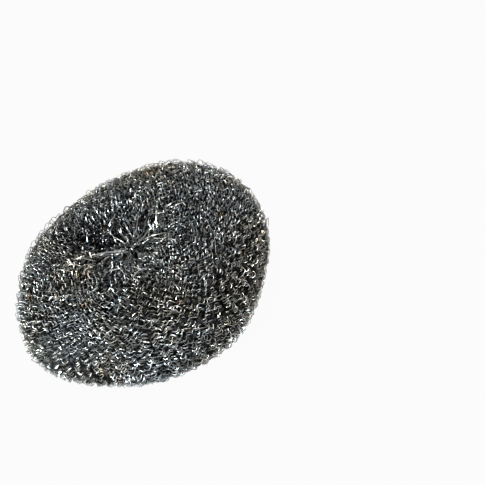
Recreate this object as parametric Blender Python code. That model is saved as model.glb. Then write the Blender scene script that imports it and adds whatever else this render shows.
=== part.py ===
"""A knitted steel wire scouring pad: one tube of knitted flat wire, rolled on itself and drawn in at
the middle, so that it is a round bun with a gathered dimple in each face.

Metres, +Z up. The pad lies on the plane z = 0, centred on the Z axis.
"""

import math

import bmesh
import bpy
from mathutils import Vector

# The pad as a whole
PAD_DIAMETER = 0.100
PAD_THICKNESS = 0.042
SIDE_FULLNESS = 2.35

# How far the outline strays from a circle. Shapes of two to seven rounded corners are laid over each
# other: the corners of each, its swell as a share of the radius, and the angle of one corner
OUTLINE_SHAPES = (
    (2, 0.0082, math.radians(-17.7)),
    (3, 0.0179, math.radians(39.5)),
    (4, 0.0123, math.radians(22.5)),
    (5, 0.0079, math.radians(-14.2)),
    (6, 0.0027, math.radians(8.2)),
    (7, 0.0073, math.radians(-10.7)),
)

# The knit: a wale is a column of loops that runs from dimple to dimple. The crowns of the loops stand
# out in rows round the pad; the real knit has about three courses of wire to each of these rows
WALES = 62
CROWN_ROWS = 22
STITCH_DEPTH = 0.0022
WALE_SLANT = math.radians(9)

# The loops underneath are pressed, and lose this share of their relief where the pad rests
PRESSED_SHARE = 0.6

# Inside this radius the loops are drawn tight towards the dimple, and their relief fades
FULL_RELIEF_RADIUS = 0.0150

# The gathered dimple in each face, and the pleats that the gathering makes. The upper face is drawn a
# little to one side, so its dimple isn't quite in the middle
DIMPLE_RADIUS = 0.0125
DIMPLE_DEPTH = 0.0100
UNDER_DIMPLE_DEPTH = 0.0060
DRAWN_X = 0.0019
DRAWN_Y = -0.0028
PLEATS = 14
PLEAT_DEPTH = 0.0022
PLEAT_RING_RADIUS = 0.0105
PLEAT_RING_WIDTH = 0.0070

# The hollow beside the upper dimple, where the rolled tube has folded in
HOLLOW_REACH = 0.0190
HOLLOW_ANGLE = math.radians(139)
HOLLOW_LENGTH = 0.0120
HOLLOW_WIDTH = 0.0085
HOLLOW_DEPTH = 0.0070

# The soft pad settles on the table by this much, which flattens a ring of loops
SETTLING = 0.0012

# The gathered end of the tube leaves this much open round the axis before it is drawn to a point
GATHER_RADIUS = 0.0022

# How finely the surface is worked out: a crown and a gap to each loop, both ways
PROFILE_SAMPLES = 2000
COLUMNS_PER_WALE = 2
RINGS_PER_CROWN_ROW = 2
CREST_SAMPLES = 400
CREST_ROUNDS = 12
SHARPEST_SMOOTH_EDGE = math.radians(35)

STEEL_COLOUR = (0.33, 0.335, 0.33, 1.0)
STEEL_ROUGHNESS = 0.32

PAD_RADIUS = PAD_DIAMETER / 2
HALF_THICKNESS = (PAD_THICKNESS + SETTLING) / 2
MIDDLE_HEIGHT = HALF_THICKNESS - SETTLING


def clear_scene():
    for obj in list(bpy.data.objects):
        bpy.data.objects.remove(obj, do_unlink=True)


def bell(distance):
    """A smooth bump: 1 at no distance, close to 0 from a distance of 2."""
    return math.exp(-distance * distance)


def domed_height(radius):
    """Height of a full bun over its middle plane at this radius, where the bun has no dimple: 1 at the
    axis, 0 at the rim, with a superellipse between."""
    share = min(radius / PAD_RADIUS, 1.0)
    return (1 - share**SIDE_FULLNESS) ** (1 / SIDE_FULLNESS)


def full_height(dimple_depth):
    """How high over its middle plane a bun with no dimple has to stand, so that the ring left round a
    dimple of this depth stands at HALF_THICKNESS. Each round adds what the ring still lacks."""
    radii = [PAD_RADIUS * i / CREST_SAMPLES for i in range(CREST_SAMPLES)]
    full = HALF_THICKNESS
    for _ in range(CREST_ROUNDS):
        ring = max(full * domed_height(r) - dimple_depth * bell(r / DIMPLE_RADIUS) for r in radii)
        full += HALF_THICKNESS - ring
    return full


UPPER_FULL_HEIGHT = full_height(DIMPLE_DEPTH)
UNDER_FULL_HEIGHT = full_height(UNDER_DIMPLE_DEPTH)


def profile_point(turn):
    """(radius, height over the middle plane) on the outline of the bun. turn goes from 0 at the middle of
    the upper dimple, over the rim at a half, to 1 at the middle of the under one."""
    angle = math.pi * turn
    radius = PAD_RADIUS * abs(math.sin(angle)) ** (2 / SIDE_FULLNESS)
    across = bell(radius / DIMPLE_RADIUS)
    dome = abs(math.cos(angle)) ** (2 / SIDE_FULLNESS)
    if turn <= 0.5:
        return radius, UPPER_FULL_HEIGHT * dome - DIMPLE_DEPTH * across
    return radius, UNDER_DIMPLE_DEPTH * across - UNDER_FULL_HEIGHT * dome


def even_stations(count):
    """count points of the profile, evenly spaced along it, each (radius, height, outward radius, outward
    height). They begin and end GATHER_RADIUS from the axis."""
    points = [profile_point(i / PROFILE_SAMPLES) for i in range(PROFILE_SAMPLES + 1)]
    points = [p for p in points if p[0] >= GATHER_RADIUS]
    lengths = [0.0]
    for a, b in zip(points, points[1:]):
        lengths.append(lengths[-1] + math.dist(a, b))
    stations = []
    at = 1
    for row in range(count):
        wanted = lengths[-1] * row / (count - 1)
        while at < len(points) - 1 and lengths[at] < wanted:
            at += 1
        a, b = points[at - 1], points[at]
        share = (wanted - lengths[at - 1]) / (lengths[at] - lengths[at - 1])
        run = (b[0] - a[0], b[1] - a[1])
        size = math.hypot(*run)
        stations.append((a[0] + share * run[0], a[1] + share * run[1], -run[1] / size, run[0] / size))
    return stations


def outline_swell(angle):
    """The pad isn't quite round: its radius at this angle, as a share of the mean one."""
    return 1 + sum(swell * math.cos(corners * (angle - turned)) for corners, swell, turned in OUTLINE_SHAPES)


def drawn_share(radius):
    """How much of the upper face's drawing to one side reaches this radius: 1 at the axis, 0 at the rim."""
    return (1 - min(radius / PAD_RADIUS, 1.0) ** 2) ** 2


def hollow_depth(x, y):
    """How deep the folded hollow beside the upper dimple is at this place."""
    along_x, along_y = math.cos(HOLLOW_ANGLE), math.sin(HOLLOW_ANGLE)
    along = x * along_x + y * along_y - HOLLOW_REACH
    across = y * along_x - x * along_y
    return HOLLOW_DEPTH * bell(math.hypot(along / HOLLOW_LENGTH, across / HOLLOW_WIDTH))


def pleat_height(angle, radius):
    """Folds that run into the dimple, strongest in a ring round it."""
    return PLEAT_DEPTH / 2 * math.cos(PLEATS * angle) * bell((radius - PLEAT_RING_RADIUS) / PLEAT_RING_WIDTH)


def pad_point(station, angle, sunk):
    """A point of the pad's surface, sunk this far under the crowns of its loops."""
    radius, height, out_radius, out_height = station
    lift = pleat_height(angle, radius) - sunk
    swell = outline_swell(angle)
    x = (radius * swell + lift * out_radius) * math.cos(angle)
    y = (radius * swell + lift * out_radius) * math.sin(angle)
    z = MIDDLE_HEIGHT + height + lift * out_height
    if height > 0:
        x += DRAWN_X * drawn_share(radius)
        y += DRAWN_Y * drawn_share(radius)
        z -= hollow_depth(x, y)
    return x, y, max(z, 0.0)


def stitch_sink(row, column, radius, height):
    """Crowns and gaps of the loops alternate along each wale and from one wale to the next. The loops
    are drawn tight towards the dimple, where the relief fades, and are pressed flatter underneath."""
    relief = min(1.0, radius / FULL_RELIEF_RADIUS)
    pressed = PRESSED_SHARE * max(0.0, -height / MIDDLE_HEIGHT)
    return 0.0 if (row + column) % 2 == 0 else STITCH_DEPTH * relief * (1 - pressed)


def knitted_surface():
    """The pad's closed skin: rings of points round Z, joined by triangles whose diagonal runs from crown
    to crown, so that the crowns stand out as a net of loops."""
    columns = WALES * COLUMNS_PER_WALE
    rows = CROWN_ROWS * RINGS_PER_CROWN_ROW
    stations = even_stations(rows)
    mesh = bmesh.new()
    rings = []
    for row, station in enumerate(stations):
        slant = WALE_SLANT * math.sin(math.pi * row / (rows - 1))
        ring = []
        for column in range(columns):
            angle = 2 * math.pi * column / columns + slant
            sunk = stitch_sink(row, column, station[0], station[1])
            ring.append(mesh.verts.new(pad_point(station, angle, sunk)))
        rings.append(ring)
    for row in range(rows - 1):
        for column in range(columns):
            after = (column + 1) % columns
            a, b = rings[row][column], rings[row][after]
            c, d = rings[row + 1][after], rings[row + 1][column]
            if (row + column) % 2 == 0:
                mesh.faces.new((a, d, c))
                mesh.faces.new((a, c, b))
            else:
                mesh.faces.new((a, d, b))
                mesh.faces.new((b, d, c))
    close_dimple(mesh, rings[0])
    close_dimple(mesh, rings[-1])
    bmesh.ops.recalc_face_normals(mesh, faces=mesh.faces)
    centre_on_axis(mesh)
    return mesh


def close_dimple(mesh, ring):
    """Draws the last ring in to a point on its own level, as the gathered end of the tube is."""
    middle = mesh.verts.new(sum((v.co for v in ring), Vector()) / len(ring))
    for column, vert in enumerate(ring):
        mesh.faces.new((middle, vert, ring[(column + 1) % len(ring)]))


def centre_on_axis(mesh):
    """Shifts the pad so that its box is centred on Z, which its uneven outline isn't."""
    shift = [
        -(min(v.co[axis] for v in mesh.verts) + max(v.co[axis] for v in mesh.verts)) / 2 for axis in (0, 1)
    ]
    bmesh.ops.translate(mesh, verts=mesh.verts, vec=(*shift, 0.0))


def steel_material():
    material = bpy.data.materials.new("steel_wire")
    material.use_nodes = True
    shader = material.node_tree.nodes["Principled BSDF"]
    shader.inputs["Base Color"].default_value = STEEL_COLOUR
    shader.inputs["Metallic"].default_value = 1.0
    shader.inputs["Roughness"].default_value = STEEL_ROUGHNESS
    return material


def build_pad():
    mesh = bpy.data.meshes.new("knitted_pad")
    surface = knitted_surface()
    surface.to_mesh(mesh)
    surface.free()
    mesh.shade_smooth()
    mesh.set_sharp_from_angle(angle=SHARPEST_SMOOTH_EDGE)
    pad = bpy.data.objects.new("knitted_pad", mesh)
    pad.data.materials.append(steel_material())
    bpy.context.scene.collection.objects.link(pad)
    return pad


clear_scene()
build_pad()
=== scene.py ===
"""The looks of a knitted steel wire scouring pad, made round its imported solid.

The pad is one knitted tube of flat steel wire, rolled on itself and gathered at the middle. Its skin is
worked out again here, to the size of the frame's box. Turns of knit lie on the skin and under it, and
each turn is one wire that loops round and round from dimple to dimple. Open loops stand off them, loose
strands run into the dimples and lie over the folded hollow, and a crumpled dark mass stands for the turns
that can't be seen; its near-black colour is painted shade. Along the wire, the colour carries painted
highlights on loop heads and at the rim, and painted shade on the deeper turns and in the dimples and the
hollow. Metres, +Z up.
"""

import math

import bpy
import numpy as np
from bpy.props import FloatProperty, FloatVectorProperty, IntProperty, IntVectorProperty, PointerProperty
from mathutils import Matrix, Vector


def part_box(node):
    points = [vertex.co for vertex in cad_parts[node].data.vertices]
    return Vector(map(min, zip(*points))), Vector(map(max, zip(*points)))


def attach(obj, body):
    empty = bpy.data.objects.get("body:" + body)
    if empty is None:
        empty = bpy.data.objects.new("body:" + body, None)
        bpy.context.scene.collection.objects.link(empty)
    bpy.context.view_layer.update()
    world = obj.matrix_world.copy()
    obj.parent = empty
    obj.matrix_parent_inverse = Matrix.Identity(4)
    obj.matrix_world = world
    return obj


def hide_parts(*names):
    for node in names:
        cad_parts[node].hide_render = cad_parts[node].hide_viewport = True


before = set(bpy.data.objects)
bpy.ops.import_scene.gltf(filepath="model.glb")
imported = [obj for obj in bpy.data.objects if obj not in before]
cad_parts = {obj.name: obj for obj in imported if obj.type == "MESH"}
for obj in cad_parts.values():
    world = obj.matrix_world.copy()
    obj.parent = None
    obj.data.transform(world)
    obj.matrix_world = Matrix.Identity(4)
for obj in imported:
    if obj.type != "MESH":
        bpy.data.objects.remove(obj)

bl_info = {
    "name": "Knitted Steel Scouring Pad",
    "version": (1, 0, 0),
    "blender": (4, 5, 0),
    "location": "3D View > Sidebar > Scouring Pad",
    "description": "Builds a round scouring pad of knitted steel wire, loop by loop",
    "category": "Add Mesh",
}

NODE = "knitted_pad"
BODY = "root"
CAD_LOW, CAD_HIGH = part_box(NODE)
CAD_SIZE = CAD_HIGH - CAD_LOW
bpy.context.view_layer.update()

FULL_TURN = 2 * math.pi
PROFILE_SAMPLES = 4000
OUTLINE_SAMPLES = 3600
CREST_ROUNDS = 12
SHARPEST_SMOOTH_EDGE = math.radians(40)
BAKE_MAP = "OFBake"
BAKE_MARGIN = 0.12
# Name of the point value that sets the wire's colour: tone that differs at random, with painted highlights
# and painted shade
LIGHT_AND_TONE_ATTRIBUTE = "tone_and_painted_light"
WIRE_MATERIAL = "rolled_steel_wire"

# Each kind of chance shape has a seed of its own beside the knit's
STRAND_SEED = 9
CRUMPLE_SEED = 11
LOOP_SEED = 12

# Slow and finer waves drag the knit round the pad, by these angles
SLOW_DRAG, FINE_DRAG = 0.035, 0.012

# They pull it from dimple to dimple, by these shares of the way
SLOW_PULL, FINE_PULL = 0.007, 0.002

# How many of the finer waves there are, and how often the finest of them goes round the pad
FINE_WAVES, FINEST_WAVE = 14, 18

# The knit's slow lumps, and the waves of the crumpled middle
LUMP_HEIGHT = 0.0003
CRUMPLE_WAVES, FINEST_CRUMPLE = 24, 40

# How far a loop may sag by chance, as a multiple of its relief and its unevenness
SAGGING = 1.5

# How bright the wire's colour is everywhere, how much of that chance changes, and at every how many loops;
# the chance is tone that differs at random
EVEN_SHINE, CHANCE_SHINE, CHANCE_LOOPS = 0.40, 0.30, 0.6
FINEST_PATCH = 12

# Points along a loose strand, strands to a strip of the bake map, and how high an arch begins and ends
STRAND_POINTS = 9
STRANDS_PER_STRIP = 12
END_HEIGHT = 0.6

# Strands that run into a dimple: the radii where they begin and end, in metres, and their bend
GATHERED_NEAR, GATHERED_FAR, GATHERED_BEND = (0.0003, 0.003), (0.005, 0.013), (-0.5, 0.5)

# Strands round a dimple: their radii and half lengths, in metres, and the spreads of lean and bow
TANGLED_RADII, TANGLED_HALVES = (0.004, 0.024), (0.0012, 0.0030)
TANGLED_LEAN, TANGLED_BOW = 0.6, 0.0006

# Strands elsewhere: their shares and lengths, the mean and spread of their lean, and their bow
SCATTERED_SHARES, SCATTERED_LENGTHS = (0.06, 0.94), (0.0018, 0.0042)
SCATTERED_LEAN, SCATTERED_BOW = (-0.5, 0.6), 0.0006

# The strands by the hollow are coloured brightest, as a painted highlight, and lie flat
LAID_SHINE, LAID_TWIST, LAID_TURNING = 1.3, 0.2, 0.1

# The other strands are mostly dark and a few bright, by chance, and turn about themselves
DULLEST_STRAND, STRAND_SHINE, BRIGHT_STRAND_RARITY, STRAND_TURNING = 0.15, 1.15, 1.6, 0.5

# How far chance shifts a standing loop along and across its row, and changes its spread and height
LOOP_SHIFT, LOOP_SLIP, LOOP_SPREAD, LOOP_RISE = 0.35, 0.012, 0.3, 0.5

# How deep its feet are rooted, as a share of its height, and how bright foot and head are coloured; the
# brighter head is a painted highlight
ROOTED = 0.25
FOOT_SHINE, HEAD_SHINE, LOOP_SHINE_CHANCE = 0.15, 0.55, 0.5

# Stops of place and colour: the wire by its tone and painted light, from near-black painted shade to a
# bright painted highlight, its tints, its rust, and other greys
WIRE_GREYS = ((0.0, (0.005, 0.005, 0.005)), (0.3, (0.03, 0.03, 0.03)), (1.0, (0.90, 0.90, 0.89)))
PATCH_TINTS = ((0.38, (0.95, 0.99, 1.03)), (0.50, (0.99, 1.0, 0.98)), (0.62, (1.04, 1.0, 0.92)))
SPECK_TINTS = ((0.35, (0.94, 0.99, 1.05)), (0.50, (1.0, 1.0, 1.0)), (0.65, (1.05, 1.0, 0.92)))
RUST_TINTS = ((0.68, (1.0, 1.0, 1.0)), (0.74, (0.95, 0.72, 0.52)))
# The packed middle's near-black greys are painted shade
INNER_SHADE_GREYS = ((0.45, (0.004, 0.004, 0.004)), (0.62, (0.05, 0.05, 0.049)))
SKY_GREYS = ((0.0, (0.25, 0.25, 0.25)), (0.14, (0.09, 0.09, 0.09)))

# Waves per metre of the noises that choose between these, and the roughness of the steel
PATCH_SCALE, RUST_SCALE, SPECK_SCALE, POLISH_SCALE, CRISS_CROSS_SCALE = 38.0, 90.0, 700.0, 900.0, 900.0
SMOOTHEST, ROUGHEST, INNER_ROUGHNESS = 0.26, 0.42, 0.5
EDGE_TINT = (0.2, 0.2, 0.2, 1.0)

# Each lamp's name, place, size, watts and colour
LAMPS = (
    ("key_lamp", (-0.38, -0.42, 0.42), 0.12, 1.6, (1.0, 0.98, 0.93)),
    ("side_lamp", (0.48, 0.05, 0.44), 0.09, 0.9, (1.0, 0.92, 0.82)),
    ("back_lamp", (-0.12, 0.55, 0.44), 0.10, 1.05, (0.97, 1.0, 0.90)),
    ("top_lamp", (0.12, 0.05, 0.70), 0.08, 1.1, (1.0, 0.98, 0.94)),
    ("front_lamp", (0.08, -0.56, 0.16), 0.12, 0.95, (0.84, 0.94, 1.0)),
    ("left_lamp", (-0.56, -0.06, 0.16), 0.10, 2.6, (0.78, 0.92, 1.0)),
)
FLOOR_REACH = 3.0
FLOOR_ROUGHNESS = 0.9
NEAREST_SEEN = 0.01

# Strands that have worked loose on the upper face: start, middle and end of each, as x and y in mm
LOOSE_STRANDS = (
    (-18.4, -1.2, -13.8, -4.2, -11.3, -5.3),
    (-22.4, -2.2, -18.8, -4.9, -16.2, -6.4),
    (-25.9, -1.2, -23.0, -4.7, -20.2, -6.7),
    (-19.6, 1.5, -19.5, -1.9, -18.8, -4.6),
    (-18.3, -4.3, -17.8, -3.8, -17.5, -3.5),
    (-17.5, -7.2, -14.2, -9.1, -11.5, -9.7),
    (-13.6, -4.8, -12.4, -5.5, -11.3, -5.3),
    (-14.4, 5.4, -13.3, 7.9, -11.7, 8.1),
    (-13.9, 1.6, -13.1, 1.9, -12.4, 1.6),
    (-12.0, -3.1, -11.5, 0.7, -10.3, 2.9),
    (-8.9, -3.5, -8.1, -3.8, -7.1, -3.5),
    (-10.6, 15.7, -11.1, 13.8, -12.3, 12.4),
    (-6.1, 7.8, -5.7, 6.9, -4.6, 8.3),
    (-4.6, 8.3, -3.1, 8.3, -2.4, 6.5),
    (-2.4, 6.5, -2.1, 5.0, -2.4, 3.2),
    (-4.6, -0.5, -2.8, 0.9, -0.9, 2.0),
    (-1.9, -2.1, -1.0, -2.1, 0.0, -1.6),
    (-5.7, -6.9, -4.9, -5.8, -4.1, -4.1),
    (15.9, -12.7, 10.9, -11.1, 4.6, -7.3),
    (13.7, -4.9, 10.1, -6.7, 4.8, -7.2),
    (17.6, 1.4, 15.8, -2.1, 13.6, -4.2),
    (11.7, 0.5, 11.7, -1.1, 11.7, -2.9),
    (9.6, -6.8, 8.6, -6.6, 7.7, -6.1),
    (6.2, -5.4, 5.3, -5.0, 4.5, -4.6),
    (5.5, -9.2, 6.9, -12.1, 8.2, -15.2),
    (0.6, 1.9, 1.2, 0.8, 1.6, -0.6),
    (-2.2, 5.2, -0.8, 3.0, 0.7, 0.4),
    (-3.2, 10.3, -3.1, 9.3, -2.6, 8.1),
    (1.9, 7.6, 1.5, 6.7, 1.0, 5.6),
    (7.8, 3.5, 7.5, 2.8, 6.8, 2.1),
    (-2.0, -7.7, -1.4, -5.9, -0.7, -4.2),
    (3.2, -18.8, 4.0, -20.0, 4.7, -21.1),
    (6.3, -23.5, 7.4, -24.5, 8.4, -25.6),
    (9.7, -24.9, 10.4, -25.9, 10.9, -26.9),
    (6.0, -26.6, 6.5, -27.2, 7.2, -27.6),
    (12.1, -33.1, 12.8, -33.6, 13.3, -34.3),
    (13.8, -30.5, 14.3, -31.3, 14.7, -32.3),
    (-4.4, -15.5, -4.1, -17.7, -3.6, -19.8),
    (-1.8, -22.6, -2.8, -23.5, -3.6, -24.3),
    (29.7, 1.8, 31.4, 2.4, 33.1, 2.2),
    (31.6, 0.9, 33.5, 1.3, 34.9, 2.5),
    (35.5, -4.2, 35.4, -5.1, 35.6, -5.8),
)


def metres(name, description, default, **more):
    return FloatProperty(name=name, description=description, default=default, unit="LENGTH", **more)


def degrees(name, description, default):
    return FloatProperty(name=name, description=description, default=math.radians(default), subtype="ANGLE")


def number(name, description, default, **more):
    return FloatProperty(name=name, description=description, default=default, **more)


def count(name, description, default, **more):
    return IntProperty(name=name, description=description, default=default, **more)


class PadForm(bpy.types.PropertyGroup):
    """The form of the pad's skin, the same as its solid's"""

    width: metres("Width", "Size of the pad along X", CAD_SIZE.x, min=0.01)
    thickness: metres("Thickness", "Height of the pad as it lies", CAD_SIZE.z, min=0.005)
    side_fullness: number("Side fullness", "Power of the superellipse that rounds the rim", 2.35, min=1.0)
    corner_swells: FloatVectorProperty(
        name="Corner swells", description="Swell of the outline with two to seven corners, as shares",
        size=6, default=(0.0082, 0.0179, 0.0123, 0.0079, 0.0027, 0.0073),
    )
    corner_angles: FloatVectorProperty(
        name="Corner angles", description="Where a corner of each of these shapes points", size=6,
        default=[math.radians(corner) for corner in (-17.7, 39.5, 22.5, -14.2, 8.2, -10.7)],
        unit="ROTATION",
    )
    drawn: FloatVectorProperty(
        name="Drawn aside", description="How far the upper dimple lies beside the middle", size=2,
        default=(0.0019, -0.0028), unit="LENGTH",
    )
    dimple_radius: metres("Dimple radius", "How wide the gathered dimples are", 0.0125)
    dimple_depth: metres("Dimple depth", "How deep the upper dimple is", 0.0100)
    under_dimple_depth: metres("Under dimple depth", "How deep the dimple underneath is", 0.006)
    gather_radius: metres("Gather radius", "Where the knit ends round the axis", 0.0022)
    pleats: count("Pleats", "Folds that run into each dimple", 14, min=0)
    pleat_depth: metres("Pleat depth", "Height of the folds", 0.0022)
    pleat_ring_radius: metres("Pleat ring radius", "Where the folds are highest", 0.0105)
    pleat_ring_width: metres("Pleat ring width", "How far the folds reach from there", 0.007)
    hollow_reach: metres("Hollow reach", "From the axis to the folded hollow", 0.019)
    hollow_angle: degrees("Hollow angle", "Where the folded hollow lies", 139)
    hollow_length: metres("Hollow length", "Half the hollow's length, away from the axis", 0.012)
    hollow_width: metres("Hollow width", "Half the hollow's width", 0.0085)
    hollow_depth: metres("Hollow depth", "How deep the hollow is", 0.0070)
    settling: metres("Settling", "How far the soft pad sinks onto what it lies on", 0.0012)


class PadKnit(bpy.types.PropertyGroup):
    """The wire and the loops that it is knitted into. Lists give the outer, second and third turn"""

    wales: IntVectorProperty(
        name="Wales", description="Columns of loops round the pad", size=3, default=(62, 60, 52), min=3
    )
    courses: IntVectorProperty(
        name="Courses", description="Rows of loops from dimple to dimple", size=3,
        default=(104, 88, 68), min=4,
    )
    segments: IntVectorProperty(
        name="Segments", description="Straight pieces of wire in each loop", size=3,
        default=(11, 9, 7), min=6,
    )
    sink: FloatVectorProperty(
        name="Sink", description="How deep the turn lies under the skin", size=3,
        default=(-0.0008, 0.0003, 0.0019), unit="LENGTH",
    )
    # Painted shade: the wire of the deeper turns is coloured darker, standing in for the shade that falls
    # between the wires
    painted_lit: FloatVectorProperty(
        name="Rubbed", description="How bright the wire of the turn is rubbed", size=3,
        default=(1.13, 0.75, 0.30),
    )
    rim_packing: number(
        "Rim packing", "How much closer the turns lie to the skin at the rim, as a share",
        0.5, min=0.0, max=1.0,
    )
    # Painted shade: the wire is coloured darker in the dimples and the hollow, where shade falls
    hollow_shade: number(
        "Dulling", "How much duller the wire is in the dimples and the hollow, as a share",
        0.42, min=0.0, max=1.0,
    )
    rim_order: number(
        "Rim order", "How much better the courses line up at the rim, as a share", 0.7, min=0.0, max=1.0
    )
    # Painted light: the wire is coloured brighter at the rim, where more light falls on it
    rim_painted_shine: number("Rim shine", "How much brighter the wire is rubbed at the rim, as a share", 0.85)
    wire_width: metres("Wire width", "Width of the flat wire", 0.00021)
    wire_thickness: metres("Wire thickness", "Thickness of the flat wire", 0.00015)
    relief: metres("Relief", "Half the height from a loop's legs to its head", 0.0007)
    rib: metres("Rib", "How far the foot of a loop lies under its head", 0.0003)
    rim_ribs: number("Rim ribs", "How much further the heads stand out at the rim, as a share", 2.5)
    reach: number("Reach", "Half a loop's length, in courses", 0.35, min=0.0)
    rim_reach: number("Rim reach", "How much longer the loops are at the rim, as a share", 2.2)
    skew: number("Skew", "How far a loop leans, in courses", 0.6)
    bulge: number("Bulge", "How far a loop's head is wider than its foot, as a phase", 0.5)
    tightening: number(
        "Tightening", "How much closer the courses lie at the rim than by the dimples",
        0.18, min=0.0, max=0.9,
    )
    slant: degrees("Slant", "How far the wales lean round the pad at the rim", 9)
    twist: degrees("Twist", "How far the flat wire turns about itself", 40)
    # Painted highlights: a loop's head and foot are coloured brighter than its legs, the heads or the feet
    # more
    painted_sparkle: number("Sparkle", "How much brighter a loop's head and foot are than its legs", 0.47, min=0.0)
    painted_glint_favour: number(
        "Favour", "How much brighter the heads are than the feet, or the feet than the heads", 0.3, min=0.0
    )
    unevenness: number("Unevenness", "How far each loop strays, as a share of a loop", 0.30, min=0.0)
    misfit: number(
        "Misfit", "How far the courses slip past each other, as a share of a loop", 0.55, min=0.0
    )
    seed: count("Seed", "Picks the chance shapes of the wire", 7)


class PadStage(bpy.types.PropertyGroup):
    """The camera and the studio"""

    distance: metres("Distance", "From the camera to the pad's middle plane", 0.45)
    elevation: degrees("Elevation", "Height of the camera over the horizon", 41.9)
    roll: degrees("Roll", "How far the camera leans", -29.1)
    aim: FloatVectorProperty(
        name="Aim", description="From the picture's middle to the pad's, across and up the picture",
        size=2, default=(-0.0371, -0.0112), unit="LENGTH",
    )
    lens: number("Lens", "Focal length in millimetres", 89.9)
    floor_colour: FloatVectorProperty(
        name="Floor colour", description="Colour of the floor", subtype="COLOR", default=(0.35, 0.35, 0.35)
    )
    white_seen: number("White seen", "Share of plain white that the camera sees round the pad", 0.95)
    white_mirrored: number("White mirrored", "Share of plain white that the wire mirrors", 0.1)


def bell(distance):
    """A smooth bump, exp(-distance squared): 1 at no distance, close to 0 from a distance of 2."""
    return np.exp(-distance * distance)


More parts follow.
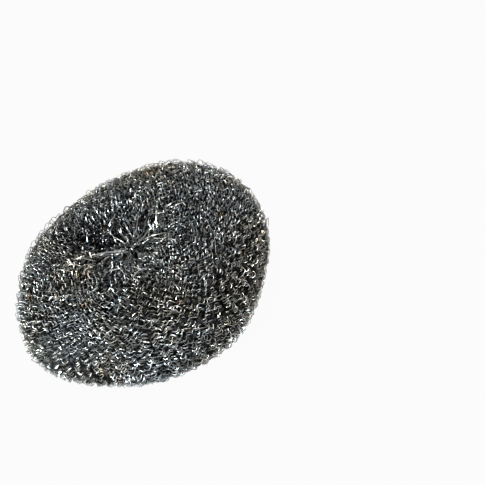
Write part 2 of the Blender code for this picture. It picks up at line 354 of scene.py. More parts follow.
class Skin:
    """The pad's skin as a surface of two parameters. angle goes round the pad. share goes from 0 at the
    upper dimple over the rim to 1 at the under one, evenly along the profile.

    The profile is a superellipse, radius = R |sin t|^(2/n) and height = H |cos t|^(2/n), with a bell taken
    off at each dimple. The outline swells by 1 plus the sum of a cos(k (angle - a0)) over k = 2 to 7, and
    the upper face is drawn aside by a share (1 - (radius / R)^2)^2.
    """

    def __init__(self, form):
        self.form = form
        angle = np.linspace(0, FULL_TURN, OUTLINE_SAMPLES)
        across, along = self.swell(angle) * np.cos(angle), self.swell(angle) * np.sin(angle)
        self.radius = form.width / (across.max() - across.min())
        self.centre_x = self.radius * (across.max() + across.min()) / 2
        self.centre_y = self.radius * (along.max() + along.min()) / 2
        self.half = (form.thickness + form.settling) / 2
        self.middle = self.half - form.settling
        self.make_profile()

    def swell(self, angle):
        corners = np.arange(2, 8)
        turned = np.asarray(angle)[..., None] - np.array(self.form.corner_angles)
        return 1 + np.cos(corners * turned) @ np.array(self.form.corner_swells)

    def drawn(self, radius):
        """How far the upper face is drawn aside at this radius, as x and y."""
        share = (1 - np.minimum(radius / self.radius, 1.0) ** 2) ** 2
        return self.form.drawn[0] * share, self.form.drawn[1] * share

    def full_height(self, depth):
        """How high a bun with no dimple stands, if the ring round a dimple of this depth is to reach half
        the thickness. Each round adds what the ring still lacks."""
        share = np.linspace(0, 1, PROFILE_SAMPLES)
        dome = (1 - share**self.form.side_fullness) ** (1 / self.form.side_fullness)
        dip = depth * bell(self.radius * share / self.form.dimple_radius)
        full = self.half
        for _ in range(CREST_ROUNDS):
            full += self.half - (full * dome - dip).max()
        return full

    def make_profile(self):
        form = self.form
        turn = np.linspace(0, math.pi, PROFILE_SAMPLES)
        power = 2 / form.side_fullness
        radius = self.radius * np.abs(np.sin(turn)) ** power
        dome = np.abs(np.cos(turn)) ** power
        dip = bell(radius / form.dimple_radius)
        upper = self.full_height(form.dimple_depth) * dome - form.dimple_depth * dip
        under = form.under_dimple_depth * dip - self.full_height(form.under_dimple_depth) * dome
        height = np.where(turn <= math.pi / 2, upper, under)
        kept = radius >= form.gather_radius
        radius, height = radius[kept], height[kept]
        steps = np.hypot(np.diff(radius), np.diff(height))
        length = np.concatenate([[0.0], np.cumsum(steps)])
        self.length = length[-1]
        self.shares = length / self.length
        self.radii, self.heights = radius, height
        run_out, run_up = np.gradient(radius, length), np.gradient(height, length)
        self.out_radii, self.out_heights = -run_up, run_out

    def pleat(self, angle, radius):
        form = self.form
        ring = bell((radius - form.pleat_ring_radius) / form.pleat_ring_width)
        return form.pleat_depth / 2 * np.cos(form.pleats * angle) * ring

    def hollow(self, x, y):
        form = self.form
        ax, ay = math.cos(form.hollow_angle), math.sin(form.hollow_angle)
        along = (x * ax + y * ay - form.hollow_reach) / form.hollow_length
        across = (y * ax - x * ay) / form.hollow_width
        return form.hollow_depth * bell(np.hypot(along, across))

    def painted_shade_mask(self, points):
        """How far rows of x, y, z lie in a dimple or in the hollow, where the wire gets painted shade: 0 to
        1.
        """
        x, y = points[..., 0] + self.centre_x, points[..., 1] + self.centre_y
        upper = points[..., 2] > self.middle
        aside_x, aside_y = self.drawn(0.0)
        radius = np.hypot(x - np.where(upper, aside_x, 0.0), y - np.where(upper, aside_y, 0.0))
        hollow = np.where(upper, self.hollow(x, y) / self.form.hollow_depth, 0.0)
        return np.minimum(bell(radius / self.form.dimple_radius) + hollow, 1.0)

    def outward(self, angle, share):
        """The direction in which lift counts, as rows of x, y, z."""
        out_radius = np.interp(share, self.shares, self.out_radii)
        out_height = np.interp(share, self.shares, self.out_heights)
        size = np.hypot(out_radius, out_height)
        flat = out_radius / size
        return np.stack([flat * np.cos(angle), flat * np.sin(angle), out_height / size], axis=-1)

    def place(self, angle, share, lift):
        """Points at this lift over the skin, as rows of x, y, z. The skin is flat where the pad rests."""
        radius = np.interp(share, self.shares, self.radii)
        height = np.interp(share, self.shares, self.heights)
        out = self.outward(angle, share)
        pleat = self.pleat(angle, radius)
        plan = radius * self.swell(angle)
        x = plan * np.cos(angle) + (lift + pleat) * out[..., 0]
        y = plan * np.sin(angle) + (lift + pleat) * out[..., 1]
        aside_x, aside_y = self.drawn(radius)
        x = x + np.where(height > 0, aside_x, 0.0)
        y = y + np.where(height > 0, aside_y, 0.0)
        skin = self.middle + height + pleat * out[..., 2]
        skin = skin - np.where(height > 0, self.hollow(x, y), 0.0)
        z = np.maximum(skin, 0.0) + lift * out[..., 2]
        return np.stack([x - self.centre_x, y - self.centre_y, z], axis=-1)

    def over(self, x, y, lift, under=False):
        """Points this high over the upper face at x and y, or this low under the under one, as rows."""
        aside_x, aside_y = (0.0, 0.0) if under else self.drawn(np.hypot(x, y))
        x, y = x + self.centre_x, y + self.centre_y
        angle = np.arctan2(y - aside_y, x - aside_x)
        radius = np.hypot(x - aside_x, y - aside_y) / self.swell(angle)
        rim = np.argmax(self.radii)
        pleat = self.pleat(angle, radius)
        if under:
            height = np.interp(radius, self.radii[:rim:-1], self.heights[:rim:-1])
            z = np.maximum(self.middle + height - pleat, 0.0) - lift
        else:
            height = np.interp(radius, self.radii[:rim], self.heights[:rim])
            z = self.middle + height + pleat - self.hollow(x, y) + lift
        return np.stack([x - self.centre_x, y - self.centre_y, z], axis=-1)


def wander(angle, share, seed, waves=9, finest=6):
    """Seeded slow waves over the skin, about -1 to 1: a sum of sin(m angle + 2 pi n share + offset). m is a
    whole number, so the waves close round the pad."""
    rng = np.random.default_rng(seed)
    total = np.zeros(np.broadcast(angle, share).shape)
    for _ in range(waves):
        round_pad = rng.integers(1, finest + 1)
        down_pad = rng.uniform(-finest, finest) / 2
        total += np.sin(round_pad * angle + FULL_TURN * down_pad * share + rng.uniform(0, FULL_TURN))
    return total / math.sqrt(waves)


def drift(rng, phase, spacing):
    """Seeded noise along a wire, -1 to 1: a chance value at every spacing, joined by straight lines."""
    knots = np.arange(phase[0] - spacing, phase[-1] + 2 * spacing, spacing)
    return np.interp(phase, knots, rng.uniform(-1, 1, len(knots)))


def unit(rows):
    return rows / np.linalg.norm(rows, axis=-1, keepdims=True)


def flat_wires(centres, outward, twist, width, thickness):
    """(points, quads, caps) of flat wires along centre lines, given as wires x points x 3. The section is a
    shallow triangle with the flat side out: with T along the wire, S = T x outward and U = S x T, both
    turned about T by twist, its corners are -w/2 S, -t U and +w/2 S."""
    tangent = unit(np.gradient(centres, axis=1))
    side = unit(np.cross(tangent, outward))
    up = np.cross(side, tangent)
    cos, sin = np.cos(twist)[..., None], np.sin(twist)[..., None]
    side, up = cos * side + sin * up, cos * up - sin * side
    corners = [centres - width / 2 * side, centres - thickness * up, centres + width / 2 * side]
    points = np.stack(corners, axis=2).reshape(-1, 3)
    wires, rings = centres.shape[:2]
    start = 3 * rings * np.arange(wires)
    ring = start[:, None, None] + 3 * np.arange(rings - 1)[None, :, None]
    corner = np.arange(3)[None, None, :]
    after = (corner + 1) % 3
    quads = np.stack([ring + corner, ring + 3 + corner, ring + 3 + after, ring + after], axis=-1)
    last = start + 3 * (rings - 1)
    caps = [np.stack([start, start + 1, start + 2], axis=-1), np.stack([last, last + 2, last + 1], axis=-1)]
    return points, quads.reshape(-1, 4), np.concatenate(caps)


def wire_bake_map(rings, rings_per_strip):
    """Corner positions in the bake map: each strip of rings_per_strip lies beside the last one, and its
    three sides lie beside each other."""
    ring = np.arange(rings)[:, None]
    side = np.arange(3)[None, :]
    strips = math.ceil(rings / rings_per_strip)
    start = (ring % rings_per_strip) / rings_per_strip + 0 * side
    end = start + 1 / rings_per_strip
    low = (3 * (ring // rings_per_strip) + side + BAKE_MARGIN) / (3 * strips)
    high = (3 * (ring // rings_per_strip) + side + 1 - BAKE_MARGIN) / (3 * strips)
    corners = [(start, low), (end, low), (end, high), (start, high)]
    return np.stack([np.stack(c, axis=-1) for c in corners], axis=2).reshape(-1, 2)


def add_piece(name, points, faces, material):
    """A new piece of the pad, which rides on its body and stands for its solid."""
    mesh = bpy.data.meshes.new(name)
    mesh.from_pydata(points.tolist(), [], faces)
    mesh.shade_smooth()
    mesh.set_sharp_from_angle(angle=SHARPEST_SMOOTH_EDGE)
    mesh.materials.append(material)
    piece = bpy.data.objects.new(name, mesh)
    bpy.context.scene.collection.objects.link(piece)
    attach(piece, BODY)
    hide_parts(NODE)
    return piece


def add_wires(name, centres, outward, twist, tone_and_painted_light, section, rings_per_strip, material):
    """A piece made of wires of one section, width and thickness. Nothing of it goes under what the pad
    lies on."""
    points, quads, caps = flat_wires(centres, outward, twist, *section)
    points[:, 2] = np.maximum(points[:, 2], 0.0)
    piece = add_piece(name, points, [*quads.tolist(), *caps.tolist()], material)
    bake = piece.data.uv_layers.new(name=BAKE_MAP)
    corners = np.zeros((len(piece.data.loops), 2))
    corners[: 4 * len(quads)] = wire_bake_map(len(quads) // 3, rings_per_strip)
    bake.data.foreach_set("uv", corners.ravel())
    # The wire's colour value, with painted highlights and painted shade in it
    layer = piece.data.attributes.new(LIGHT_AND_TONE_ATTRIBUTE, "FLOAT", "POINT")
    layer.data.foreach_set("value", np.repeat(tone_and_painted_light.ravel(), 3))
    return piece


def knit_path(skin, knit, turn, first, last):
    """(phase, angle, share, lift, source of chance) along the wire, from course first to course last of a
    turn. With p the phase of the loops, 2 pi for each, and W wales to a course:
        angle  = (p + bulge sin 2p) / W
        course = p / (2 pi W) + reach cos p - skew sin p
        lift   = relief (cos 2p - 1) + rib / 2 (cos p - 1) - sink (1 - packing sin^2(pi share))
    Towards the rim, by sin^4(pi share), the rib is higher, the loops are longer and the courses line up
    better. Every other turn shows its back, so it leans the other way. Then chance moves each loop, and
    slow waves carry neighbours along together."""
    wales, courses = knit.wales[turn], knit.courses[turn]
    rng = np.random.default_rng((knit.seed, turn, first))
    steps = (last - first) * wales * knit.segments[turn]
    phase = np.linspace(first, last, steps + 1) * FULL_TURN * wales
    loop = FULL_TURN
    stray = knit.unevenness
    angle = phase + knit.bulge * np.sin(2 * phase) + stray * loop * drift(rng, phase, loop) / 2
    rim = np.sin(math.pi * phase / (loop * wales * courses)) ** 4
    slip = knit.misfit * (1 - knit.rim_order * rim)
    angle = (angle + slip * loop * drift(rng, phase, 4 * loop)) / wales
    reach = knit.reach * (1 + knit.rim_reach * rim) * (1 + stray * drift(rng, phase, loop))
    lean = knit.skew * (-1) ** turn
    course = phase / (loop * wales) + reach * np.cos(phase) - lean * np.sin(phase)
    course = course + 2 * stray * drift(rng, phase, loop)
    even = np.clip((course + 1) / (courses + 2), 0.0, 1.0)
    share = even + knit.tightening / FULL_TURN * np.sin(FULL_TURN * even)
    relief = knit.relief * (1 + 2 * stray * drift(rng, phase, loop / 2))
    packed = 1 - knit.rim_packing * np.sin(math.pi * even) ** 2
    rib = knit.rib * (1 + knit.rim_ribs * rim)
    lift = relief * (np.cos(2 * phase) - 1) + rib / 2 * (np.cos(phase) - 1) - packed * knit.sink[turn]
    lift = lift - knit.relief * stray * SAGGING * (1 + drift(rng, phase, loop / 2))
    slant = knit.slant * np.sin(math.pi * even)
    seed = (knit.seed, turn)
    fine_drag = FINE_DRAG * wander(angle, share, (*seed, 4), FINE_WAVES, FINEST_WAVE)
    fine_pull = FINE_PULL * wander(angle, share, (*seed, 5), FINE_WAVES, FINEST_WAVE)
    drag = SLOW_DRAG * wander(angle, share, (*seed, 1)) + fine_drag
    pull = SLOW_PULL * wander(angle, share, (*seed, 2)) + fine_pull
    angle = angle + slant + drag
    share = np.clip(share + pull, 0.0, 1.0)
    lift = lift + LUMP_HEIGHT * (wander(angle, share, (*seed, 3)) - 1)
    return phase, angle, share, lift, rng


def wire_tone_and_painted_light(knit, turn, phase, angle, share, rng):
    """How bright the wire's colour is along it: T (even + chance + sparkle cos 2p + favour (order + (1 -
    order) waves) cos p) (1 + rim shine sin^4(pi share)), where T is the turn's factor and order grows
    towards the rim.
    Chance is tone that differs at random. The rest is painted light: painted shade on the deeper turns
    through T, painted highlights on loop heads and feet through sparkle and favour, and painted light at
    the rim."""
    rim = np.sin(math.pi * share) ** 4
    order = knit.rim_order * rim
    waves = wander(angle, share, (knit.seed, turn, 6), FINE_WAVES, FINEST_PATCH)
    painted_glint_favour = knit.painted_glint_favour * (order + (1 - order) * waves) * np.cos(phase)
    chance = CHANCE_SHINE * drift(rng, phase, CHANCE_LOOPS * FULL_TURN)
    shine = EVEN_SHINE + chance + knit.painted_sparkle * np.cos(2 * phase) + painted_glint_favour
    return knit.painted_lit[turn] * shine * (1 + knit.rim_painted_shine * rim)


def add_turn(name, skin, knit, turn, first, last, material):
    """Courses first to last of a turn of knit, as one wire."""
    phase, angle, share, lift, rng = knit_path(skin, knit, turn, first, last)
    centre = skin.place(angle, share, lift)
    twist = knit.twist * (drift(rng, phase, FULL_TURN / 2) + drift(rng, phase, 2 * FULL_TURN))
    # The wire's colour along it: tone at random, painted highlights and painted shade, with more painted
    # shade in the dimples and the hollow
    tone_and_painted_light = wire_tone_and_painted_light(knit, turn, phase, angle, share, rng) * (1 - knit.hollow_shade * skin.painted_shade_mask(centre))
    rings_per_strip = knit.wales[turn] * knit.segments[turn]
    outward = skin.outward(angle, share)
    section = (knit.wire_width, knit.wire_thickness)
    return add_wires(name, centre[None], outward, twist[None], tone_and_painted_light, section, rings_per_strip, material)


class NodeChain:
    """Short words for adding shader nodes and joining them."""

    def __init__(self, tree):
        self.tree = tree

    def add(self, kind, **settings):
        node = self.tree.nodes.new(kind)
        for name, value in settings.items():
            setattr(node, name, value)
        return node

    def join(self, output, target):
        self.tree.links.new(output, target)


def new_material(name):
    """(material, node chain, Principled shader) of a fresh material."""
    material = bpy.data.materials.new(name)
    material.use_nodes = True
    shader = material.node_tree.nodes["Principled BSDF"]
    return material, NodeChain(material.node_tree), shader


def noise(chain, place, scale, detail=2.0):
    node = chain.add("ShaderNodeTexNoise")
    node.inputs["Scale"].default_value = scale
    node.inputs["Detail"].default_value = detail
    chain.join(place, node.inputs["Vector"])
    return node.outputs["Fac"]


def ramp(chain, value, stops):
    """A colour ramp with (place, colour) stops."""
    node = chain.add("ShaderNodeValToRGB")
    elements = node.color_ramp.elements
    while len(elements) < len(stops):
        elements.new(0.5)
    for element, (place, colour) in zip(elements, stops):
        element.position = place
        element.color = (*colour, 1.0)
    chain.join(value, node.inputs["Fac"])
    return node.outputs["Color"]


def multiplied(chain, one, other):
    node = chain.add("ShaderNodeMix", data_type="RGBA", blend_type="MULTIPLY")
    node.inputs["Factor"].default_value = 1.0
    chain.join(one, node.inputs["A"])
    chain.join(other, node.inputs["B"])
    return node.outputs["Result"]


def steel_wire():
    """Rolled steel wire: its grey follows the colour value along the wire, which holds tone that differs at
    random with painted highlights and painted shade, and it has patches and specks of warm and cool tint
    and a little rust. Seen edge-on it stays dull, as tarnished wire does."""
    material, chain, shader = new_material(WIRE_MATERIAL)
    place = chain.add("ShaderNodeTexCoord").outputs["Object"]
    # The colour value along the wire: tone that differs at random, with painted highlights and painted
    # shade
    own = chain.add("ShaderNodeAttribute", attribute_name=LIGHT_AND_TONE_ATTRIBUTE).outputs["Fac"]
    patches = noise(chain, place, PATCH_SCALE)
    specks = noise(chain, place, SPECK_SCALE, detail=1.0)
    rust = noise(chain, place, RUST_SCALE)
    colour = ramp(chain, own, WIRE_GREYS)
    for pattern, tints in ((patches, PATCH_TINTS), (specks, SPECK_TINTS), (rust, RUST_TINTS)):
        colour = multiplied(chain, colour, ramp(chain, pattern, tints))
    chain.join(colour, shader.inputs["Base Color"])
    shader.inputs["Specular Tint"].default_value = EDGE_TINT
    shader.inputs["Metallic"].default_value = 1.0
    polish = chain.add("ShaderNodeMapRange")
    polish.inputs["To Min"].default_value = SMOOTHEST
    polish.inputs["To Max"].default_value = ROUGHEST
    chain.join(noise(chain, place, POLISH_SCALE), polish.inputs["Value"])
    chain.join(polish.outputs["Result"], shader.inputs["Roughness"])
    return material


def packed_turns_painted_shade():
    """The turns deep inside: a fine criss-cross of wire, coloured near black as painted shade."""
    material, chain, shader = new_material("packed_inner_turns")
    place = chain.add("ShaderNodeTexCoord").outputs["Object"]
    strokes = noise(chain, place, CRISS_CROSS_SCALE, detail=3.0)
    chain.join(ramp(chain, strokes, INNER_SHADE_GREYS), shader.inputs["Base Color"])
    shader.inputs["Metallic"].default_value = 1.0
    shader.inputs["Roughness"].default_value = INNER_ROUGHNESS
    return material


class PAD_OT_outer_turn(bpy.types.Operator):
    """Knit the outer turn, in three lengths of wire: upper face, side and underside"""

    bl_idname = "pad.outer_turn"
    bl_label = "Outer Turn"

    def execute(self, context):
        skin, knit = Skin(context.scene.pad_form), context.scene.pad_knit
        material = steel_wire()
        third = knit.courses[0] // 3
        add_turn("outer_turn_upper", skin, knit, 0, 0, third, material)
        add_turn("outer_turn_side", skin, knit, 0, third, 2 * third, material)
        add_turn("outer_turn_under", skin, knit, 0, 2 * third, knit.courses[0], material)
        return {"FINISHED"}


class PAD_OT_inner_turns(bpy.types.Operator):
    """Knit the second and the third turn, which show through the gaps of the outer one"""

    bl_idname = "pad.inner_turns"
    bl_label = "Inner Turns"

    def execute(self, context):
        skin, knit = Skin(context.scene.pad_form), context.scene.pad_knit
        material = bpy.data.materials[WIRE_MATERIAL]
        half = knit.courses[1] // 2
        add_turn("second_turn_upper", skin, knit, 1, 0, half, material)
        add_turn("second_turn_under", skin, knit, 1, half, knit.courses[1], material)
        add_turn("third_turn", skin, knit, 2, 0, knit.courses[2], material)
        return {"FINISHED"}


def bowed(start, middle, end, along):
    """Points along curves through three points each: with t along, the curve is
    (1 - t)(1 - 2t) start + 4t (1 - t) middle + t (2t - 1) end."""
    t = along[None, :, None]
    start, middle, end = start[:, None], middle[:, None], end[:, None]
    return (1 - t) * (1 - 2 * t) * start + 4 * t * (1 - t) * middle + t * (2 * t - 1) * end


def around(radius, angle):
    return np.stack([radius * np.cos(angle), radius * np.sin(angle)], axis=-1)


class PAD_OT_loose_strands(bpy.types.Operator):
    """Lay the strands that have worked loose, into both dimples, over the hollow, and here and there"""

    bl_idname = "pad.loose_strands"
    bl_label = "Loose Strands"

    gathered: count("Gathered", "Strands that run into each dimple", 44)
    tangled: count("Tangled", "Strands that lie loosely round each dimple", 130)
    scattered: count("Scattered", "Strands over the rest of the pad", 320)
    arch: metres("Arch", "How far a strand stands off", 0.0007)
    width: metres("Width", "Width of a strand", 0.00034)
    clearance: metres("Clearance", "How far the strands by the hollow stand off more", 0.0006)
    knot: metres("Knot", "Height of the gathered ends over the bottom of a dimple", 0.0024)
    knot_reach: metres("Knot reach", "How far from the middle strands are lifted by them", 0.006)

    def execute(self, context):
        skin, knit = Skin(context.scene.pad_form), context.scene.pad_knit
        rng = np.random.default_rng((knit.seed, STRAND_SEED))
        along = np.linspace(0, 1, STRAND_POINTS)
        arch = self.arch * (END_HEIGHT + 4 * along * (1 - along))
        loose = np.array(LOOSE_STRANDS).reshape(-1, 3, 2) / 1000
        loose = bowed(loose[:, 0], loose[:, 1], loose[:, 2], along)
        laid = [skin.over(loose[..., 0], loose[..., 1], 2 * arch + self.clearance)]
        for under in (False, True):
            strands = np.concatenate([self.gather(rng, along), self.tangle(rng, along)])
            raised = arch + self.knot * bell(np.hypot(strands[..., 0], strands[..., 1]) / self.knot_reach)
            strands = strands + (0.0 if under else np.array(skin.drawn(0.0)))
            laid.append(skin.over(strands[..., 0], strands[..., 1], raised, under))
        outward = [np.broadcast_to((0.0, 0.0, 1.0), rows.shape) for rows in laid[:2]]
        outward.append(np.broadcast_to((0.0, 0.0, -1.0), laid[2].shape))
        angle, share = self.scatter(skin, rng, along)
        laid.append(skin.place(angle, share, arch - 2 * self.arch))
        outward.append(skin.outward(angle, share))
        centres, outward = np.concatenate(laid), np.concatenate(outward)
        shape = centres.shape[:2]
        listed_strand = np.arange(shape[0])[:, None] < len(LOOSE_STRANDS)
        twist = knit.twist * np.where(listed_strand, LAID_TWIST, 1.0) * rng.uniform(-1, 1, (shape[0], 1))
        turning = np.where(listed_strand, LAID_TURNING, STRAND_TURNING)
        twist = twist + turning * knit.twist * along[None, :]
        chance = rng.uniform(0, 1, (shape[0], 1))
        shine = DULLEST_STRAND + STRAND_SHINE * chance**BRIGHT_STRAND_RARITY
        # The listed strands by the hollow are coloured brightest as a painted highlight; the others take
        # their chance brightness
        tone_and_painted_light = np.broadcast_to(np.where(listed_strand, LAID_SHINE, shine), shape)
        material = bpy.data.materials[WIRE_MATERIAL]
        strip = STRANDS_PER_STRIP * (STRAND_POINTS - 1)
        section = (self.width, knit.wire_thickness)
        add_wires("loose_strands", centres, outward, twist, tone_and_painted_light, section, strip, material)
        return {"FINISHED"}

    def gather(self, rng, along):
        """Strands that run outwards from a dimple's middle, each with a slight bow."""
        angle = rng.uniform(0, FULL_TURN, self.gathered)
        near = rng.uniform(*GATHERED_NEAR, self.gathered)
        far = rng.uniform(*GATHERED_FAR, self.gathered)
        bend = rng.uniform(*GATHERED_BEND, self.gathered)
        middle = around((near + far) / 2, angle + bend / 4)
        return bowed(around(near, angle - bend), middle, around(far, angle), along)

    def tangle(self, rng, along):
        """Strands round a dimple, each more or less along the radius, with a slight bow."""
        angle = rng.uniform(0, FULL_TURN, self.tangled)
        lean = angle + rng.normal(0, TANGLED_LEAN, self.tangled)
        middle = around(rng.uniform(*TANGLED_RADII, self.tangled), angle)
        half = around(rng.uniform(*TANGLED_HALVES, self.tangled), lean)
        bow = around(rng.normal(0, TANGLED_BOW, self.tangled), lean + math.pi / 2)
        return bowed(middle - half, middle + bow, middle + half, along)

    def scatter(self, skin, rng, along):
        """(angle, share) along strands of chance place, length and direction."""
        strands = self.scattered
        share = rng.uniform(*SCATTERED_SHARES, strands)
        angle = rng.uniform(0, FULL_TURN, strands)
        lean, length = rng.normal(*SCATTERED_LEAN, strands), rng.uniform(*SCATTERED_LENGTHS, strands)
        step = (along[None, :] - 0.5) * length[:, None]
        bow = rng.uniform(-1, 1, (strands, 1)) * SCATTERED_BOW * (along * (1 - along))[None, :]
        radius = np.interp(share, skin.shares, skin.radii)[:, None]
        round_pad = (step * np.cos(lean)[:, None] - bow * np.sin(lean)[:, None]) / radius
        down_pad = (step * np.sin(lean)[:, None] + bow * np.cos(lean)[:, None]) / skin.length
        return angle[:, None] + round_pad, share[:, None] + down_pad


class PAD_OT_standing_loops(bpy.types.Operator):
    """Raise the loops that stand open on the upper face and over the rim, in rows round the pad"""

    bl_idname = "pad.standing_loops"
    bl_label = "Standing Loops"

    rows: count("Rows", "Rows of standing loops round the pad", 8)
    first: number("First", "Share of the first row", 0.24)
    last: number("Last", "Share of the last row", 0.52)
    kept: number("Kept", "Share of the loops that stand", 0.6)
    height: metres("Height", "How far a loop stands off", 0.0008)
    spread: number("Spread", "Width of a loop, as a share of a wale", 0.8)
    reach: number("Reach", "Length of a loop, as a share of the skin's", 0.018)

    def execute(self, context):
        """Each loop is an arc: with t from 0 to 1, angle = a0 + spread (t - 1/2), share = s0 - reach
        sin(pi t) and lift = height (sin(pi t) - rooted), where chance moves a0, s0 and the height."""
        skin, knit = Skin(context.scene.pad_form), context.scene.pad_knit
        rng = np.random.default_rng((knit.seed, LOOP_SEED))
        wale = FULL_TURN / knit.wales[0]
        along = np.linspace(0, 1, STRAND_POINTS)[None, :]
        starts = np.linspace(self.first, self.last, self.rows)
        row, column = np.meshgrid(starts, np.arange(knit.wales[0]))
        kept = rng.uniform(0, 1, row.size) < self.kept
        row, column = row.ravel()[kept, None], column.ravel()[kept, None]
        chance = rng.uniform(-1, 1, (4, *row.shape))
        rise = np.sin(math.pi * along)
        across = self.spread * (along - 0.5) * (1 + LOOP_SPREAD * chance[1])
        angle = wale * (column + LOOP_SHIFT * chance[0] + across)
        share = row + LOOP_SLIP * chance[2] - self.reach * rise
        angle = angle + knit.slant * np.sin(math.pi * share)
        lift = self.height * (1 + LOOP_RISE * chance[3]) * (rise - ROOTED)
        centres, outward = skin.place(angle, share, lift), skin.outward(angle, share)
        twist = knit.twist * rng.uniform(-1, 1, row.shape) + 0 * along
        # A standing loop's head is coloured brighter as a painted highlight, with painted shade in the
        # dimples and the hollow
        shine = (FOOT_SHINE + HEAD_SHINE * rise) * (1 + LOOP_SHINE_CHANCE * chance[1])
        tone_and_painted_light = shine * (1 - knit.hollow_shade * skin.painted_shade_mask(centres))
        material = bpy.data.materials[WIRE_MATERIAL]
        section = (knit.wire_width, knit.wire_thickness)
        strip = STRANDS_PER_STRIP * (STRAND_POINTS - 1)
        add_wires("standing_loops", centres, outward, twist, tone_and_painted_light, section, strip, material)
        return {"FINISHED"}


class PAD_OT_packed_middle(bpy.types.Operator):
    """Fill the pad with the crumpled mass of its inner turns"""

    bl_idname = "pad.packed_middle"
    bl_label = "Packed Middle"

    depth: metres("Depth", "How deep it lies under the skin", 0.0026)
    crumple: metres("Crumple", "Height of its lumps", 0.0004)
    columns: count("Columns", "Faces round it", 220)
    rows: count("Rows", "Faces from dimple to dimple", 120)

    def execute(self, context):
        """The skin sunk by depth, with slow waves of crumple, closed at both dimples by a point."""
        skin, knit = Skin(context.scene.pad_form), context.scene.pad_knit
        angle = np.arange(self.columns)[None, :] * FULL_TURN / self.columns
        share = np.linspace(0, 1, self.rows)[:, None]
        lumps = wander(angle, share, CRUMPLE_SEED, CRUMPLE_WAVES, FINEST_CRUMPLE)
        packed = 1 - knit.rim_packing * np.sin(math.pi * share) ** 2
        lift = self.crumple * lumps - packed * self.depth
        points = skin.place(angle + 0 * share, share + 0 * angle, lift)
        column = np.arange(self.columns)[None, :]
        after = (column + 1) % self.columns
        row = self.columns * np.arange(self.rows - 1)[:, None]
        below = row + self.columns
        quads = np.stack([row + column, below + column, below + after, row + after], axis=-1).reshape(-1, 4)
        middles = points[[0, -1]].mean(axis=1)
        flat = np.concatenate([points.reshape(-1, 3), middles])
        top, bottom = len(flat) - 2, len(flat) - 1
        last = self.columns * (self.rows - 1)
        ends = [(top, int(c), int(a)) for c, a in zip(column[0], after[0])]
        ends += [(bottom, last + int(a), last + int(c)) for c, a in zip(column[0], after[0])]
        flat[:, 2] = np.maximum(flat[:, 2], 0.0)
        add_piece("packed_middle", flat, [*quads.tolist(), *ends], packed_turns_painted_shade())
        return {"FINISHED"}


def add_lamp(name, place, target, size, power, colour):
    data = bpy.data.lights.new(name, "AREA")
    data.size = size
    data.energy = power
    data.color = colour
    lamp = bpy.data.objects.new(name, data)
    lamp.location = place
    lamp.rotation_euler = (Vector(target) - Vector(place)).to_track_quat("-Z", "Y").to_euler()
    bpy.context.scene.collection.objects.link(lamp)


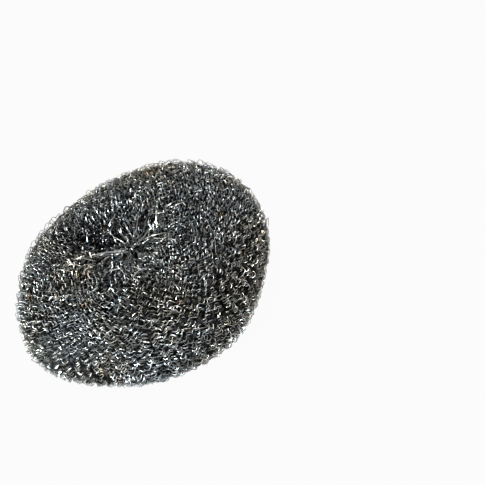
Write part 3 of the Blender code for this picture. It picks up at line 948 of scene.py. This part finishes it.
class PAD_OT_stage(bpy.types.Operator):
    """Set up the camera, the pale floor, the lamps and the white surroundings"""

    bl_idname = "pad.stage"
    bl_label = "Stage"

    def execute(self, context):
        scene, stage = context.scene, context.scene.pad_stage
        middle = Vector((0.0, 0.0, CAD_SIZE.z / 2))
        self.add_camera(scene, stage, middle)
        self.add_floor(stage)
        self.add_surroundings(scene, stage)
        for name, place, size, power, colour in LAMPS:
            add_lamp(name, place, middle, size, power, colour)
        scene.view_settings.view_transform = "Standard"
        return {"FINISHED"}

    def add_camera(self, scene, stage, middle):
        sin_e, cos_e = math.sin(stage.elevation), math.cos(stage.elevation)
        sin_r, cos_r = math.sin(stage.roll), math.cos(stage.roll)
        back = Vector((0.0, -cos_e, sin_e))
        level, upright = Vector((1.0, 0.0, 0.0)), Vector((0.0, sin_e, cos_e))
        right = cos_r * level + sin_r * upright
        up = cos_r * upright - sin_r * level
        data = bpy.data.cameras.new("camera")
        data.lens = stage.lens
        data.clip_start = NEAREST_SEEN
        camera = bpy.data.objects.new("camera", data)
        place = middle + stage.distance * back - stage.aim[0] * right - stage.aim[1] * up
        camera.matrix_world = Matrix.Translation(place) @ Matrix((right, up, back)).transposed().to_4x4()
        scene.collection.objects.link(camera)
        scene.camera = camera

    def add_floor(self, stage):
        reach = FLOOR_REACH
        corners = [(-reach, -reach, 0), (reach, -reach, 0), (reach, reach, 0), (-reach, reach, 0)]
        mesh = bpy.data.meshes.new("floor")
        mesh.from_pydata(corners, [], [(0, 1, 2, 3)])
        material, chain, shader = new_material("pale_floor")
        shader.inputs["Base Color"].default_value = (*stage.floor_colour, 1.0)
        shader.inputs["Roughness"].default_value = FLOOR_ROUGHNESS
        mesh.materials.append(material)
        floor = bpy.data.objects.new("floor", mesh)
        bpy.context.scene.collection.objects.link(floor)
        white = chain.add("ShaderNodeEmission")
        white.inputs["Strength"].default_value = 1.0
        mix = chain.add("ShaderNodeMixShader")
        chain.join(self.white_share(chain, stage), mix.inputs["Fac"])
        chain.join(shader.outputs[0], mix.inputs[1])
        chain.join(white.outputs[0], mix.inputs[2])
        output = next(n for n in chain.tree.nodes if n.type.startswith("OUTPUT"))
        chain.join(mix.outputs[0], output.inputs["Surface"])

    def white_share(self, chain, stage):
        """How much plain white the floor and the surroundings show: seen x Is Camera Ray + mirrored x the
        larger one of Is Glossy Ray and Is Transmission Ray."""
        path = chain.add("ShaderNodeLightPath")
        mirror = chain.add("ShaderNodeMath", operation="MAXIMUM")
        chain.join(path.outputs["Is Glossy Ray"], mirror.inputs[0])
        chain.join(path.outputs["Is Transmission Ray"], mirror.inputs[1])
        amount = chain.add("ShaderNodeMath", operation="MULTIPLY")
        amount.inputs[1].default_value = stage.white_mirrored
        chain.join(mirror.outputs[0], amount.inputs[0])
        total = chain.add("ShaderNodeMath", operation="MULTIPLY_ADD")
        total.inputs[1].default_value = stage.white_seen
        chain.join(path.outputs["Is Camera Ray"], total.inputs[0])
        chain.join(amount.outputs[0], total.inputs[2])
        return total.outputs[0]

    def add_surroundings(self, scene, stage):
        world = bpy.data.worlds.new("studio")
        world.use_nodes = True
        chain = NodeChain(world.node_tree)
        sky = world.node_tree.nodes["Background"]
        direction = chain.add("ShaderNodeTexCoord").outputs["Generated"]
        parts = chain.add("ShaderNodeSeparateXYZ")
        chain.join(direction, parts.inputs[0])
        grey = ramp(chain, parts.outputs["Z"], SKY_GREYS)
        white = chain.add("ShaderNodeMix", data_type="RGBA")
        white.inputs["B"].default_value = (1.0, 1.0, 1.0, 1.0)
        chain.join(self.white_share(chain, stage), white.inputs["Factor"])
        chain.join(grey, white.inputs["A"])
        chain.join(white.outputs["Result"], sky.inputs["Color"])
        scene.world = world


class PAD_PT_panel(bpy.types.Panel):
    """The pad's sizes, and its pieces in the order in which they are made"""

    bl_label = "Scouring Pad"
    bl_space_type = "VIEW_3D"
    bl_region_type = "UI"
    bl_category = "Scouring Pad"

    def draw(self, context):
        for group in (context.scene.pad_form, context.scene.pad_knit, context.scene.pad_stage):
            box = self.layout.box()
            for name in group.__annotations__:
                box.prop(group, name)
        for operator in OPERATORS:
            self.layout.operator(operator.bl_idname)


OPERATORS = (
    PAD_OT_outer_turn,
    PAD_OT_inner_turns,
    PAD_OT_loose_strands,
    PAD_OT_standing_loops,
    PAD_OT_packed_middle,
    PAD_OT_stage,
)
GROUPS = {"pad_form": PadForm, "pad_knit": PadKnit, "pad_stage": PadStage}


def register():
    for made in (*GROUPS.values(), *OPERATORS, PAD_PT_panel):
        bpy.utils.register_class(made)
    for name, group in GROUPS.items():
        setattr(bpy.types.Scene, name, PointerProperty(type=group))


def unregister():
    for name in GROUPS:
        delattr(bpy.types.Scene, name)
    for made in reversed((*GROUPS.values(), *OPERATORS, PAD_PT_panel)):
        bpy.utils.unregister_class(made)


def main():
    register()
    bpy.ops.pad.outer_turn()
    bpy.ops.pad.inner_turns()
    bpy.ops.pad.loose_strands()
    bpy.ops.pad.standing_loops()
    bpy.ops.pad.packed_middle()
    bpy.ops.pad.stage()


if __name__ == "__main__":
    main()
